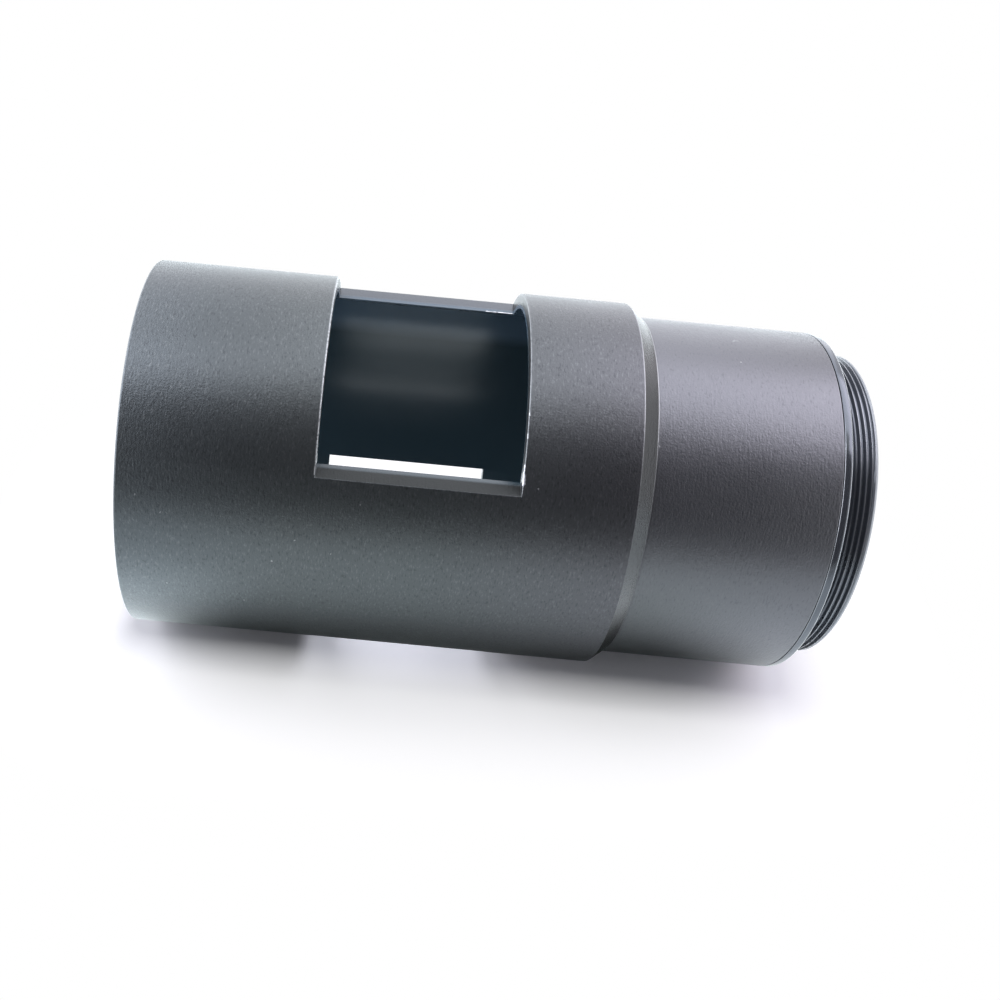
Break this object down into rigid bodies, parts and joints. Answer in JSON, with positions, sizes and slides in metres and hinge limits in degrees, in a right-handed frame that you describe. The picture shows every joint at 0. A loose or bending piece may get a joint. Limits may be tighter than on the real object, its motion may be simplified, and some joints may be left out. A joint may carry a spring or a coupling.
{
  "type": "telescope coupling adapter",
  "caption": "Stepped black tube that couples a camera to a telescope's eyepiece end, with finger windows on both sides and a threaded ring in its neck.",
  "frame": {"origin": "centre of the wide end's face, which it stands on", "axes": "+Z along the tube's axis, from the wide end to the threaded nose; the finger windows face -Y and +Y"},
  "size_m": [0.052, 0.052, 0.0968],
  "materials": {
    "sleeve_anodised": "black anodised over a fine bead blast, matt",
    "ring_anodised": "black anodised over a turned surface, satin"
  },
  "bodies": {
    "root": {"sleeve": "sleeve_anodised", "thread_ring": "ring_anodised"}
  },
  "joints": []
}
